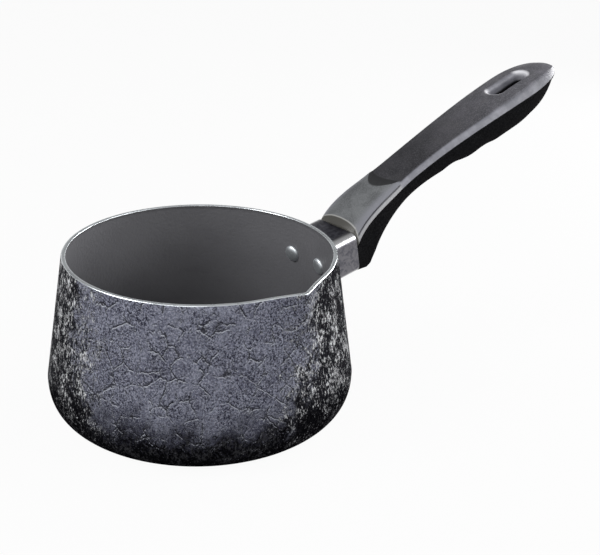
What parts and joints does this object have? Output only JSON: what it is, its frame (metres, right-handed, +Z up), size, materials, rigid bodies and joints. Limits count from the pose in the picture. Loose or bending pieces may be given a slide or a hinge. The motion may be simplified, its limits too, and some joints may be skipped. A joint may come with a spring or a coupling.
{
  "type": "saucepan",
  "caption": "Belly saucepan with a pouring lip, dark crackled coating, grey non-stick inside, metal collar and dark moulded handle with a hanging slot.",
  "frame": {"origin": "centre of the flat base, on the pan's axis", "axes": "+X along the handle, +Z up through the rim; the pouring lip is on the -Y side"},
  "size_m": [0.3505, 0.161, 0.1535],
  "materials": {
    "coated_aluminium": "mottled crackled dark coating outside, satin dark grey non-stick inside, bare bright rim",
    "bracket_steel": "plain sheet steel",
    "rivet_aluminium": "satin",
    "collar_metal": "polished with light scuffs",
    "moulded_handle": "satin dark thermoset, fine grain",
    "screw_steel": "plain plated"
  },
  "bodies": {
    "root": {"pan_body": "coated_aluminium", "handle_bracket": "bracket_steel", "rivet_left": "rivet_aluminium", "rivet_right": "rivet_aluminium", "collar": "collar_metal", "handle": "moulded_handle", "handle_screw": "screw_steel"}
  },
  "joints": []
}
